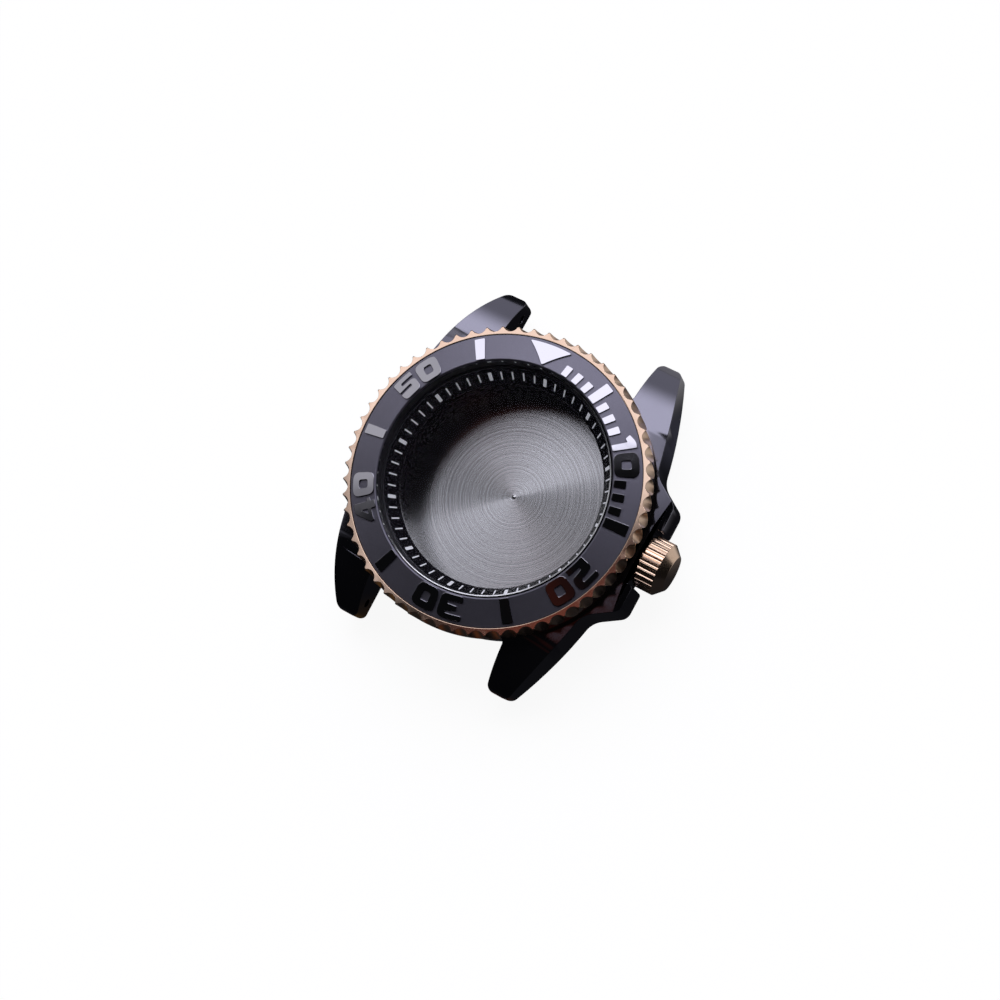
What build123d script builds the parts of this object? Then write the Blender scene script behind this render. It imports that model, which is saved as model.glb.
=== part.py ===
from build123d import *
import math
import os

os.makedirs("parts", exist_ok=True)

# An empty diver's watch case, ready for a movement.
# The origin is the middle of the case back's outer face, +Z points out through the crystal,
# +X points along the crown at 3 o'clock and +Y points to 12 o'clock. Lengths are in millimetres.

# Gaps that the fits share
seat_gap = 0.02            # still pieces, one round wall inside another
running_gap = 0.08         # turning pieces, at the radius
thread_gap = 0.1           # case back boss in the case
cut_overrun = 1.0          # how far a cutting tool passes through a face

# Bezel and its insert, seen from the front
bezel_radius = 20.0
tooth_count = 60
click_count = 60
scallop_radius = 1.05
scallop_depth = 0.7
scallop_height = 2.3
bezel_rim_width = 1.1      # insert to the tips of the teeth
insert_width = 3.65
insert_gap = 0.05
insert_inner_lip = 0.2
insert_outer_thickness = 0.53
insert_slope_drop = 0.84
insert_rim_depth = 0.11    # the rim stands above the insert's outer edge by this much
mark_raise = 0.16
adhesive_thickness = 0.1
adhesive_margin = 0.35

# Bezel, hidden side
bezel_float = 0.25         # bezel above the deck of the case
bezel_lip_width = 0.65
bezel_foot_taper = 0.5
bezel_foot_height = 0.85
click_room = 0.8           # deck to the click teeth
click_depth = 0.25
click_track_width = 1.5
click_track_start = 0.5    # bezel bore to the click teeth
wire_size = 0.36
wire_height = 1.45         # deck to the middle of the retaining wire
wire_gap = 0.05
wire_opening_angle = 12.0

# Click spring on the deck
spring_sheet = 0.15
spring_width = 1.7
tongue_width = 0.85
tongue_length = 3.0
tongue_rise = 0.78

# Marks on the insert, counted in minutes from 12 o'clock
mark_margin = 0.23         # insert's bore to the marks
long_mark_length = 3.05
long_mark_width = 1.25
short_mark_length = 1.5
short_mark_width = 0.9
triangle_width = 5.5
long_mark_minutes = [5, 15, 25, 35, 45, 55]
short_mark_minutes = [2, 3, 4, 6, 7, 8, 12, 13, 14]
bezel_rest_turn = 4.9      # degrees, as the bezel was left
chapter_rest_turn = 3.4    # degrees, as the loose minute ring lies

# Crystal, its gasket and the minute ring
crystal_thickness = 2.75
crystal_bevel = 0.35
crystal_insert_gap = 0.15
crystal_gasket_wall = 0.36
crystal_gasket_lip = 0.15
crystal_gasket_lip_width = 0.35
crystal_seat_depth = 1.15  # top of the neck to the ledge
ledge_thickness = 0.4
chapter_top_width = 0.4
chapter_width = 1.7
chapter_height = 2.4
chapter_foot = 0.4

# Case middle
deck_height = 9.2          # case back face to the deck under the bezel
neck_height = 2.65
neck_wall = 1.0
neck_seat_gap = 0.1        # neck to the floor of the insert's seat
lug_to_lug = 47.4
lug_gap = 20.0
lug_tip_width = 3.1        # strap gap to the lugs' outer corners
flank_setback = 1.6        # teeth to the flank at the middle of the case
strap_wall_setback = 0.8   # teeth to the wall behind the strap
lug_corner_radius = 1.2
lug_inner_corner_radius = 0.9
lug_root_radius = 0.8
lug_slope_length = 9.7
lug_slope_radius = 13.5
lug_droop = 0.2
lug_droop_margin = 0.3     # case back's rim to where the underside of the lugs drops
lug_nose_radius = 0.6
lug_heel_radius = 0.6
spring_bar_hole_radius = 0.55
spring_bar_hole_depth = 1.6
drill_point_angle = 118.0
spring_bar_inset = 2.3     # lug tips to the holes
spring_bar_height = 1.9    # underside of the case to the holes

# Crown guards
guard_stand_out = 2.95     # beyond the flank at the middle
guard_root_half_width = 9.9
guard_root_inset = 0.9     # flank at the middle to the guards' roots
guard_nose_half_width = 7.4
guard_neck_radius = 3.0
guard_corner_radius = 1.5
guard_notch_depth = 1.15
guard_notch_half_width = 3.8
guard_notch_corner_radius = 0.4
guard_bevel = 0.6

# Case back and its gasket
back_flange_height = 2.4
back_floor = 0.9
back_slope_width = 3.3
back_slope_height = 0.8
back_edge_bevel = 0.4
back_boss_margin = 0.9      # crystal to the back's threaded boss
back_boss_height = 2.0
back_boss_wall = 1.4
back_flange_margin = 0.58   # gasket to the flange's rim
back_slot_count = 6
back_slot_width = 2.4
back_slot_depth = 1.3
back_slot_height = 1.3
nib_radius = 0.3
nib_height = 0.12
back_gasket_wall = 0.52     # thread bore to the gasket
back_gasket_width = 0.7
back_gasket_height = 0.55
back_gasket_squeeze_room = 0.05

# Crown, its tube and the parts inside it
crown_axis_drop = 3.2       # deck to the crown's axis
crown_radius = 3.5
crown_length = 3.9
crown_case_gap = 0.3
crown_taper_width = 1.15
crown_taper_length = 1.15
crown_foot_bevel = 0.3
flute_count = 26
flute_radius = 0.27
flute_lift = 0.04
flute_sides = 8
tube_radius = 1.25
tube_shoulder = 0.25       # the threaded end stands out from the tube by this much
tube_wall = 0.58
tube_reach = 1.5           # length of tube outside the case
tube_length_inside = 4.5
tube_end_gap = 0.05
crown_gasket_thickness = 0.2
crown_retainer_thickness = 0.2
chamber_wall_step = 0.38    # threaded bore to the chamber
chamber_floor = 0.45       # end wall of the crown
crown_rise = 0.7875        # 2.25 turns of the crown's 0.35 thread
post_head_gap = 0.1
post_head_thickness = 0.25
post_gap = 0.03
stem_hole_wall = 0.14
stem_hole_depth = 3.0
o_ring_width = 0.3
o_ring_start = 0.8
spring_wire_size = 0.12
spring_coil_gap = 0.35       # chamber wall to the middle of the wire
spring_turns = 3.0
spring_end_lift = 0.01     # the coil's tilt at its ends

# Heights and radii that follow from the sizes above
case_bottom = back_flange_height
neck_top = deck_height + neck_height
insert_radius = bezel_radius - bezel_rim_width
insert_bore = insert_radius - insert_width
mark_inner_radius = insert_bore + mark_margin
crystal_radius = insert_bore - crystal_insert_gap
case_half_width = bezel_radius - flank_setback
strap_wall_radius = bezel_radius - strap_wall_setback
lug_tip_x = lug_gap / 2 + lug_tip_width
flank_bulge = case_half_width - lug_tip_x
flank_radius = (flank_bulge**2 + (lug_to_lug / 2) ** 2) / (2 * flank_bulge)
chapter_outer_radius = crystal_radius
chapter_top_radius = chapter_outer_radius - chapter_top_width
chapter_inner_radius = chapter_outer_radius - chapter_width
guard_reach = case_half_width + guard_stand_out
guard_root_x = case_half_width - guard_root_inset
guard_notch_floor = guard_reach - guard_notch_depth
crystal_gasket_inner = crystal_radius + seat_gap
crystal_gasket_outer = crystal_gasket_inner + crystal_gasket_wall
crystal_bore = crystal_gasket_outer + seat_gap
neck_radius = crystal_bore + neck_wall
bezel_bore = neck_radius + running_gap
insert_seat = neck_top + neck_seat_gap
insert_bottom = insert_seat + adhesive_thickness
bezel_seat_radius = insert_radius + insert_gap
bezel_bottom = deck_height + bezel_float
click_ceiling = deck_height + click_room
click_inner_radius = bezel_bore + click_track_start
click_outer_radius = click_inner_radius + click_track_width
bezel_lip_radius = bezel_radius - bezel_foot_taper - bezel_lip_width
chapter_bore = chapter_outer_radius + seat_gap
ledge_radius = chapter_top_radius + seat_gap
wire_z = deck_height + wire_height
back_boss_radius = crystal_radius + back_boss_margin
thread_bore = back_boss_radius + thread_gap
back_cup_radius = back_boss_radius - back_boss_wall
back_gasket_inner_radius = thread_bore + back_gasket_wall
back_gasket_outer_radius = back_gasket_inner_radius + back_gasket_width
back_flange_radius = back_gasket_outer_radius + back_flange_margin
back_flat_radius = back_flange_radius - back_edge_bevel - back_slope_width
lug_slope_start = lug_to_lug / 2 - lug_slope_length
lug_droop_start = back_flange_radius + lug_droop_margin
spring_bar_y = lug_to_lug / 2 - spring_bar_inset
spring_bar_z = case_bottom + spring_bar_height
crown_axis_z = deck_height - crown_axis_drop
crown_end_radius = crown_radius - crown_taper_width
tube_thread_radius = tube_radius + tube_shoulder
crown_bore = tube_thread_radius + running_gap
chamber_radius = crown_bore - chamber_wall_step
post_head_radius = chamber_radius - post_head_gap
spring_coil_radius = chamber_radius - spring_coil_gap
tube_bore = tube_radius - tube_wall
post_radius = tube_bore - running_gap
stem_hole_radius = post_radius - stem_hole_wall
crown_start = guard_notch_floor + crown_case_gap
crown_end = crown_start + crown_length
tube_end = guard_notch_floor + tube_reach
gasket_start = tube_end + tube_end_gap
chamber_start = gasket_start + crown_gasket_thickness
retainer_end = chamber_start + crown_retainer_thickness
head_start = retainer_end + crown_rise + post_gap
head_end = head_start + post_head_thickness
chamber_end = crown_end - chamber_floor

insert_outer_top = insert_bottom + insert_outer_thickness
insert_inner_top = insert_outer_top + insert_slope_drop
bezel_top = insert_outer_top + insert_rim_depth

# The crystal stands on its gasket's lip, which the ledge in the case carries
ledge_top = neck_top - crystal_seat_depth
chapter_top = ledge_top - ledge_thickness
crystal_bottom = ledge_top + crystal_gasket_lip
crystal_top = crystal_bottom + crystal_thickness


def turned(points):
    """A solid turned about Z from an outline of (radius, height) points."""
    outline = Polyline(*[(radius, 0, height) for radius, height in points], close=True)
    return revolve(make_face(outline.edges()), Axis.Z)


def washer(inner_radius, outer_radius, bottom, top):
    """A flat ring between two heights."""
    face = Circle(outer_radius) - Circle(inner_radius)
    return Pos(0, 0, bottom) * extrude(face, top - bottom)


def disc(radius, bottom, top):
    """A round bar between two heights."""
    return Pos(0, 0, bottom) * extrude(Circle(radius), top - bottom)


def drilled_hole(radius, depth):
    """A round cutting tool with a drill's point beyond its depth."""
    point_height = radius / math.tan(math.radians(drill_point_angle / 2))
    return turned([(0, 0), (radius, 0), (radius, depth), (0, depth + point_height)])


def on_crown_axis(solid):
    """Lays a solid that was turned about Z along the crown's axis."""
    return Plane(origin=(0, 0, crown_axis_z), x_dir=(0, 1, 0), z_dir=(1, 0, 0)) * solid


def vertex_near(sketch, x, y):
    """The corner of a flat outline that lies nearest to a place."""
    return sketch.vertices().sort_by_distance((x, y, 0))[0]


def case_plan():
    """Outline of the case middle from above, with lugs and crown guards."""
    flank_centre = flank_radius - case_half_width
    envelope = Pos(-flank_centre, 0) * Circle(flank_radius)
    envelope &= Pos(flank_centre, 0) * Circle(flank_radius)
    envelope &= Rectangle(2 * bezel_radius, lug_to_lug)
    strap_room = Rectangle(lug_gap, 2 * lug_to_lug) - Circle(strap_wall_radius)
    plan = envelope - strap_room

    guards = Polygon(
        (0, -guard_root_half_width - guard_slope_run()),
        (guard_reach, -guard_nose_half_width),
        (guard_reach, guard_nose_half_width),
        (0, guard_root_half_width + guard_slope_run()),
        align=None,
    )
    plan += guards & (Pos(guard_reach, 0) * Rectangle(2 * guard_root_x, lug_to_lug))
    notch_length = 2 * (guard_reach - guard_notch_floor)
    plan -= Pos(guard_reach, 0) * Rectangle(notch_length, 2 * guard_notch_half_width)

    tip_y = lug_to_lug / 2
    root_y = math.sqrt(strap_wall_radius**2 - (lug_gap / 2) ** 2)
    for side in (-1, 1):
        for end in (-1, 1):
            outer = vertex_near(plan, side * lug_tip_x, end * tip_y)
            plan = fillet(outer, lug_corner_radius)
            inner = vertex_near(plan, side * lug_gap / 2, end * tip_y)
            plan = fillet(inner, lug_inner_corner_radius)
            root = vertex_near(plan, side * lug_gap / 2, end * root_y)
            plan = fillet(root, lug_root_radius)
    for end in (-1, 1):
        neck = vertex_near(plan, guard_root_x, end * guard_root_half_width)
        plan = fillet(neck, guard_neck_radius)
        nose = vertex_near(plan, guard_reach, end * guard_nose_half_width)
        plan = fillet(nose, guard_corner_radius)
        lip = vertex_near(plan, guard_reach, end * guard_notch_half_width)
        plan = fillet(lip, guard_notch_corner_radius)
    return plan


def guard_slope_run():
    """How much wider the guards' sloping sides stand at the case's middle line than at their roots."""
    slope = (guard_root_half_width - guard_nose_half_width) / (guard_reach - guard_root_x)
    return slope * guard_root_x


def lug_profile():
    """Outline of the case from the side, in (y, z), with both lugs curving down."""
    tip_y = lug_to_lug / 2
    slope_centre = deck_height - lug_slope_radius
    middle_y = (lug_slope_start + tip_y) / 2

    def slope_height(y):
        return slope_centre + math.sqrt(lug_slope_radius**2 - (y - lug_slope_start) ** 2)

    lug_heel = case_bottom - lug_droop
    with BuildLine() as outline:
        Line((-lug_slope_start, deck_height), (lug_slope_start, deck_height))
        ThreePointArc(
            (lug_slope_start, deck_height),
            (middle_y, slope_height(middle_y)),
            (tip_y, slope_height(tip_y)),
        )
        Line((tip_y, slope_height(tip_y)), (tip_y, lug_heel))
        Line((tip_y, lug_heel), (lug_droop_start, case_bottom))
        Line((lug_droop_start, case_bottom), (-lug_droop_start, case_bottom))
        Line((-lug_droop_start, case_bottom), (-tip_y, lug_heel))
        Line((-tip_y, lug_heel), (-tip_y, slope_height(tip_y)))
        ThreePointArc(
            (-tip_y, slope_height(tip_y)),
            (-middle_y, slope_height(middle_y)),
            (-lug_slope_start, deck_height),
        )
    profile = Sketch() + make_face(outline.edges())
    for side in (-1, 1):
        nose = vertex_near(profile, side * tip_y, slope_height(tip_y))
        profile = fillet(nose, lug_nose_radius)
        heel = vertex_near(profile, side * tip_y, lug_heel)
        profile = fillet(heel, lug_heel_radius)
    return profile


def case_blank():
    """The case middle before turning: its plan cut to its side profile, with a flat bezel seat."""
    plan = case_plan()
    side_view = Plane(origin=(-2 * bezel_radius, 0, 0), x_dir=(0, 1, 0), z_dir=(1, 0, 0))
    from_the_side = side_view * extrude(lug_profile(), 4 * bezel_radius)
    blank = extrude(plan, deck_height) & from_the_side
    seat = plan & Circle(strap_wall_radius)
    blank += Pos(0, 0, case_bottom) * extrude(seat, deck_height - case_bottom)

    bevel = Polyline(
        (guard_reach - guard_bevel, deck_height),
        (guard_reach, deck_height - guard_bevel),
        (guard_reach + cut_overrun, deck_height - guard_bevel),
        (guard_reach + cut_overrun, deck_height + cut_overrun),
        (guard_reach - guard_bevel, deck_height + cut_overrun),
        close=True,
    )
    front_view = Plane(origin=(0, bezel_radius, 0), x_dir=(1, 0, 0), z_dir=(0, -1, 0))
    return blank - front_view * extrude(make_face(bevel.edges()), 2 * bezel_radius)


def mid_case():
    """Case middle with lugs, guards, bezel neck, crystal seat, movement bore and back thread bore."""
    case = case_blank()
    case += washer(ledge_radius, neck_radius, deck_height - cut_overrun, neck_top)
    case -= disc(crystal_bore, ledge_top, neck_top + cut_overrun)
    case -= disc(ledge_radius, chapter_top - cut_overrun, neck_top)
    case -= disc(chapter_bore, 0, chapter_top)
    case -= disc(thread_bore, 0, case_bottom + back_boss_height + thread_gap)
    groove_half = wire_size / 2 + wire_gap
    groove_floor = neck_radius - wire_size / 2 - wire_gap
    case -= washer(groove_floor, neck_radius + cut_overrun, wire_z - groove_half, wire_z + groove_half)
    gasket_room = back_gasket_inner_radius - seat_gap
    gasket_rim = back_gasket_outer_radius + seat_gap
    gasket_top = case_bottom + back_gasket_height + back_gasket_squeeze_room
    case -= washer(gasket_room, gasket_rim, 0, gasket_top)
    tube_hole = disc(tube_radius + seat_gap, 0, guard_reach + cut_overrun)
    case -= on_crown_axis(tube_hole)
    for side in (-1, 1):
        for end in (-1, 1):
            hole = drilled_hole(spring_bar_hole_radius, spring_bar_hole_depth + cut_overrun)
            mouth = Plane(
                origin=(side * (lug_gap / 2 - cut_overrun), end * spring_bar_y, spring_bar_z),
                x_dir=(0, 1, 0),
                z_dir=(side, 0, 0),
            )
            case -= mouth * hole
    return case


def bezel_ring():
    """Turning ring with scooped teeth round its edge and click teeth underneath."""
    foot_radius = bezel_radius - bezel_foot_taper
    blank = turned([
        (bezel_bore, click_ceiling),
        (bezel_bore, insert_seat),
        (bezel_seat_radius, insert_seat),
        (bezel_seat_radius, bezel_top),
        (bezel_radius, bezel_top),
        (bezel_radius, bezel_bottom + bezel_foot_height),
        (foot_radius, bezel_bottom),
        (bezel_lip_radius, bezel_bottom),
        (bezel_lip_radius, click_ceiling),
    ])
    groove_half = wire_size / 2 + wire_gap
    groove_rim = bezel_bore + wire_size / 2 + wire_gap
    blank -= washer(bezel_bore - cut_overrun, groove_rim, wire_z - groove_half, wire_z + groove_half)

    lean = math.degrees(math.atan2(scallop_depth, scallop_height))
    root_radius = bezel_radius - scallop_depth
    axis_radius = root_radius + scallop_radius / math.cos(math.radians(lean))
    cutter = Rot(0, -lean, 0) * Cylinder(scallop_radius, 4 * scallop_height)
    cutter = Pos(axis_radius, 0, bezel_top) * cutter
    pitch = 360 / tooth_count
    scallops = [Rot(0, 0, pitch * index) * cutter for index in range(tooth_count)]

    click_pitch = 2 * math.pi * click_inner_radius / click_count
    notch = Polyline(
        (0, click_ceiling - click_depth),
        (0, click_ceiling + click_depth),
        (-click_pitch, click_ceiling - click_depth / 2),
        close=True,
    )
    notch_plane = Plane(origin=(click_inner_radius, 0, 0), x_dir=(0, 1, 0), z_dir=(1, 0, 0))
    notch = notch_plane * extrude(make_face(notch.edges()), click_track_width)
    click_step = 360 / click_count
    notches = [Rot(0, 0, click_step * index) * notch for index in range(click_count)]
    return blank - scallops - notches


def minute_spot(minute, shape):
    """Turns a shape drawn at 12 o'clock round to its minute."""
    return Rot(0, 0, -6 * minute) * shape


def insert_marks():
    """Flat outlines of the raised bars and of the triangle, before they are cut to the slope."""
    long_middle = mark_inner_radius + long_mark_length / 2
    short_middle = mark_inner_radius + short_mark_length / 2
    long_bar = Pos(0, long_middle) * Rectangle(long_mark_width, long_mark_length)
    short_bar = Pos(0, short_middle) * Rectangle(short_mark_width, short_mark_length)
    marks = Sketch() + Polygon(
        (0, mark_inner_radius),
        (triangle_width / 2, mark_inner_radius + long_mark_length),
        (-triangle_width / 2, mark_inner_radius + long_mark_length),
        align=None,
    )
    for minute in long_mark_minutes:
        marks += minute_spot(minute, long_bar)
    for minute in short_mark_minutes:
        marks += minute_spot(minute, short_bar)
    return marks


def bezel_insert():
    """Sloping ceramic ring whose bars and triangle stand up in one piece with it."""
    slope_start = insert_bore + insert_inner_lip
    ring = turned([
        (insert_bore, insert_bottom),
        (insert_radius, insert_bottom),
        (insert_radius, insert_outer_top),
        (slope_start, insert_inner_top),
        (insert_bore, insert_inner_top - insert_inner_lip / 2),
    ])
    raised_band = turned([
        (slope_start, insert_inner_top - mark_raise),
        (insert_radius, insert_outer_top - mark_raise),
        (insert_radius, insert_outer_top + mark_raise),
        (slope_start, insert_inner_top + mark_raise),
    ])
    tall_marks = Pos(0, 0, insert_bottom) * extrude(insert_marks(), crystal_thickness)
    return ring + (raised_band & tall_marks)


def insert_adhesive_ring():
    """Double-sided tape between the insert and the bezel."""
    inner = bezel_bore + adhesive_margin
    outer = insert_radius - adhesive_margin
    return washer(inner, outer, insert_seat, insert_bottom)


def bezel_retaining_wire():
    """Open spring wire that rides in the bezel and hooks into the neck's groove."""
    ring = washer(
        bezel_bore - wire_size / 2,
        bezel_bore + wire_size / 2,
        wire_z - wire_size / 2,
        wire_z + wire_size / 2,
    )
    gap_width = 2 * bezel_bore * math.sin(math.radians(wire_opening_angle / 2))
    opening = Pos(-bezel_bore, 0, wire_z) * Box(4 * wire_size, gap_width, 2 * wire_size)
    return ring - opening


def click_spring():
    """Flat steel ring on the deck with two tongues bent up into the click teeth."""
    inner = neck_radius + running_gap
    outer = inner + spring_width
    middle = (inner + outer) / 2
    top = deck_height + spring_sheet
    ring = washer(inner, outer, deck_height, top)
    side_view = Plane(origin=(middle - tongue_width / 2, 0, 0), x_dir=(0, 1, 0), z_dir=(1, 0, 0))
    window_width = tongue_width + 2 * spring_sheet
    window = Pos(middle, -tongue_length / 2, top) * Box(window_width, tongue_length, 2 * spring_sheet)
    tip = deck_height + tongue_rise
    sheet = Polyline(
        (-tongue_length - spring_sheet, deck_height),
        (-tongue_length, deck_height),
        (-tongue_gap(), tip),
        (-tongue_gap(), tip + spring_sheet),
        (-tongue_length - spring_sheet, top),
        close=True,
    )
    tongue = side_view * extrude(make_face(sheet.edges()), tongue_width)
    for turn in (0, 180):
        ring -= Rot(0, 0, turn) * window
    for turn in (0, 180):
        ring += Rot(0, 0, turn) * tongue
    return ring


def tongue_gap():
    """Room between a tongue's end and the upright side of its click tooth."""
    return seat_gap * 2


def chapter_ring():
    """Sloping minute ring that stands against the ledge under the crystal."""
    bottom = chapter_top - chapter_height
    return turned([
        (chapter_inner_radius, bottom),
        (chapter_outer_radius, bottom),
        (chapter_outer_radius, chapter_top),
        (chapter_top_radius, chapter_top),
        (chapter_inner_radius, bottom + chapter_foot),
    ])


def crystal():
    """Flat crystal with a polished bevel round its top edge."""
    return turned([
        (0, crystal_bottom),
        (crystal_radius, crystal_bottom),
        (crystal_radius, crystal_top - crystal_bevel),
        (crystal_radius - crystal_bevel, crystal_top),
        (0, crystal_top),
    ])


def crystal_gasket():
    """Angled ring that holds the crystal in the neck and keeps water out."""
    lip_inner = crystal_radius - crystal_gasket_lip_width
    return turned([
        (lip_inner, ledge_top),
        (crystal_gasket_outer, ledge_top),
        (crystal_gasket_outer, neck_top),
        (crystal_gasket_inner, neck_top),
        (crystal_gasket_inner, crystal_bottom),
        (lip_inner, crystal_bottom),
    ])


def case_back():
    """Screw-down back: flange with wrench slots, threaded boss and a turned cup with a centre nib."""
    boss_top = case_bottom + back_boss_height
    back = turned([
        (0, 0),
        (back_flat_radius, 0),
        (back_flange_radius - back_edge_bevel, back_slope_height),
        (back_flange_radius, back_slope_height + back_edge_bevel),
        (back_flange_radius, back_flange_height),
        (back_boss_radius, back_flange_height),
        (back_boss_radius, boss_top),
        (back_cup_radius, boss_top),
        (back_cup_radius, back_floor),
        (nib_radius, back_floor),
        (0, back_floor + nib_height),
    ])
    slot = Box(2 * back_slot_depth, back_slot_width, 2 * back_slot_height)
    for index in range(back_slot_count):
        turn = 360 * (index + 0.5) / back_slot_count
        back -= Rot(0, 0, turn) * Pos(back_flange_radius, 0, 0) * slot
    return back


def case_back_gasket():
    """Rubber ring in the case's groove, resting on the back's flange."""
    top = case_bottom + back_gasket_height
    return washer(back_gasket_inner_radius, back_gasket_outer_radius, case_bottom, top)


def crown_tube():
    """Tube through the case wall, threaded outside for the crown, with a groove for its seal."""
    inner_end = guard_notch_floor - tube_length_inside
    tube = disc(tube_radius, inner_end, guard_notch_floor)
    tube += disc(tube_thread_radius, guard_notch_floor, tube_end)
    tube -= disc(tube_bore, inner_end - cut_overrun, tube_end + cut_overrun)
    start = inner_end + o_ring_start
    tube -= disc(post_radius + seat_gap + o_ring_width, start, start + o_ring_width)
    return on_crown_axis(tube)


def tube_o_ring():
    """Rubber ring that seals the post in the tube."""
    start = guard_notch_floor - tube_length_inside + o_ring_start
    inner = post_radius + seat_gap
    return on_crown_axis(washer(inner, inner + o_ring_width, start, start + o_ring_width))


def crown_cap():
    """Fluted crown with a threaded bore for the tube and a chamber for its clutch."""
    flute_end = crown_end - crown_taper_length
    cap = turned([
        (0, crown_start),
        (crown_radius - crown_foot_bevel, crown_start),
        (crown_radius, crown_start + crown_foot_bevel),
        (crown_radius, flute_end),
        (crown_end_radius, crown_end),
        (0, crown_end),
    ])
    cap -= disc(crown_bore, crown_start - cut_overrun, chamber_start)
    cap -= disc(chamber_radius, chamber_start - cut_overrun, chamber_end)
    flute = extrude(RegularPolygon(flute_radius, flute_sides), 2 * crown_length)
    flute = Pos(crown_radius + flute_lift, 0, flute_end - crown_length) * flute
    flutes = [Rot(0, 0, 360 / flute_count * index) * flute for index in range(flute_count)]
    return on_crown_axis(cap - flutes)


def crown_gasket():
    """Flat seal in the crown that closes on the tube's end."""
    inner = post_radius + running_gap
    return on_crown_axis(washer(inner, crown_bore - seat_gap, gasket_start, chamber_start))


def crown_retainer():
    """Ring pressed into the crown that keeps the post's head in its chamber."""
    inner = post_radius + running_gap
    return on_crown_axis(washer(inner, chamber_radius - seat_gap, chamber_start, retainer_end))


def crown_post():
    """Post through the tube, with a head in the crown and a hole for the movement's stem."""
    inner_end = guard_notch_floor - tube_length_inside
    post = disc(post_radius, inner_end, head_end)
    post += disc(post_head_radius, head_start, head_end)
    post -= disc(stem_hole_radius, inner_end - cut_overrun, inner_end + stem_hole_depth)
    return on_crown_axis(post)


def crown_spring():
    """Coil that pushes the crown outwards from the post's head."""
    rise = chamber_end - head_end - spring_wire_size - 2 * (seat_gap + spring_end_lift)
    path = Helix(pitch=rise / spring_turns, height=rise, radius=spring_coil_radius)
    wire = Plane(origin=path @ 0, z_dir=path % 0) * Rectangle(spring_wire_size, spring_wire_size)
    start = head_end + spring_wire_size / 2 + seat_gap + spring_end_lift
    return on_crown_axis(Pos(0, 0, start) * sweep(wire, path=path))


bezel_turned = Rot(0, 0, bezel_rest_turn)
solids = {
    "mid_case": mid_case(),
    "case_back": case_back(),
    "case_back_gasket": case_back_gasket(),
    "crystal": crystal(),
    "crystal_gasket": crystal_gasket(),
    "chapter_ring": Rot(0, 0, chapter_rest_turn) * chapter_ring(),
    "bezel_ring": bezel_turned * bezel_ring(),
    "bezel_insert": bezel_turned * bezel_insert(),
    "insert_adhesive_ring": bezel_turned * insert_adhesive_ring(),
    "bezel_retaining_wire": bezel_turned * bezel_retaining_wire(),
    "click_spring": bezel_turned * click_spring(),
    "crown_tube": crown_tube(),
    "tube_o_ring": tube_o_ring(),
    "crown_cap": crown_cap(),
    "crown_gasket": crown_gasket(),
    "crown_retainer": crown_retainer(),
    "crown_post": crown_post(),
    "crown_spring": crown_spring(),
}
for name, solid in solids.items():
    export_step(solid, f"parts/{name}.step")
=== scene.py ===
import math

import bmesh
import bpy
from mathutils import Matrix, Vector


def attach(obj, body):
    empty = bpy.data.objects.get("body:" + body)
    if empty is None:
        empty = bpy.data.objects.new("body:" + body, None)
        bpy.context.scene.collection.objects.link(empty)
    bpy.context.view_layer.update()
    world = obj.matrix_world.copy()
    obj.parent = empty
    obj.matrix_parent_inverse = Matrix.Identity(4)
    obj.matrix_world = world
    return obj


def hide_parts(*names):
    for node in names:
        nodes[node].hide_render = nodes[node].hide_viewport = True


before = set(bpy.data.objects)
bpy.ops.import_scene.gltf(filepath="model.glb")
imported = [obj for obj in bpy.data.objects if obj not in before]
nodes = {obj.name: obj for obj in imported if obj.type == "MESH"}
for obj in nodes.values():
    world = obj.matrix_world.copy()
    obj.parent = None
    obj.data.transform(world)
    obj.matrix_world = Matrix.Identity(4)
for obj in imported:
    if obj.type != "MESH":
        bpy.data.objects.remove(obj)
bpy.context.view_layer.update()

# The case stands on its back with 12 o'clock along +Y and the crown along +X.
# Sizes are in millimetres and become metres where a mesh is written.
MM = 0.001

# Bezel
BEZEL_RADIUS = 20.0
BEZEL_TOP = 12.69
BEZEL_BOTTOM = 9.45
BEZEL_BORE = 16.58
BEZEL_FOOT_TOP = 10.3
BEZEL_FOOT_RADIUS = 19.5
BEZEL_LIP_RADIUS = 18.85
BEZEL_SKIRT_TOP = 10.0
BEZEL_SEAT_GAP = 0.05
BEZEL_SEAT_HEIGHT = 11.95
BEZEL_RIM_INNER_EDGE = 0.04
BEZEL_RIM_OUTER_EDGE = 0.12
BEZEL_REST_TURN = 4.9
WIRE_GROOVE_DEPTH = 0.23
WIRE_GROOVE_BOTTOM = 10.4
WIRE_GROOVE_TOP = 10.9
TOOTH_COUNT = 60
SCALLOP_RADIUS = 1.05
SCALLOP_DEPTH = 0.7
SCALLOP_HEIGHT = 2.3
SCALLOP_INNER_RADIUS = 18.0
SCALLOP_LOWEST = 10.35

# Insert and its raised marks
INSERT_BORE = 15.25
INSERT_RADIUS = 18.9
INSERT_BOTTOM = 12.05
INSERT_OUTER_TOP = 12.58
INSERT_INNER_TOP = 13.42
INSERT_LIP = 0.2
MARK_RISE = 0.22
MARK_EDGE = 0.04
MARK_SINK = 0.05
MARK_FOOT = 15.48
MARK_HEIGHT = 3.05
MARK_MIDDLE_RADIUS = 17.0
FIVE_MINUTE_BAR_WIDTH = 1.3
MINUTE_BAR_WIDTH = 1.0
MINUTE_BAR_HEIGHT = 1.52

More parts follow.
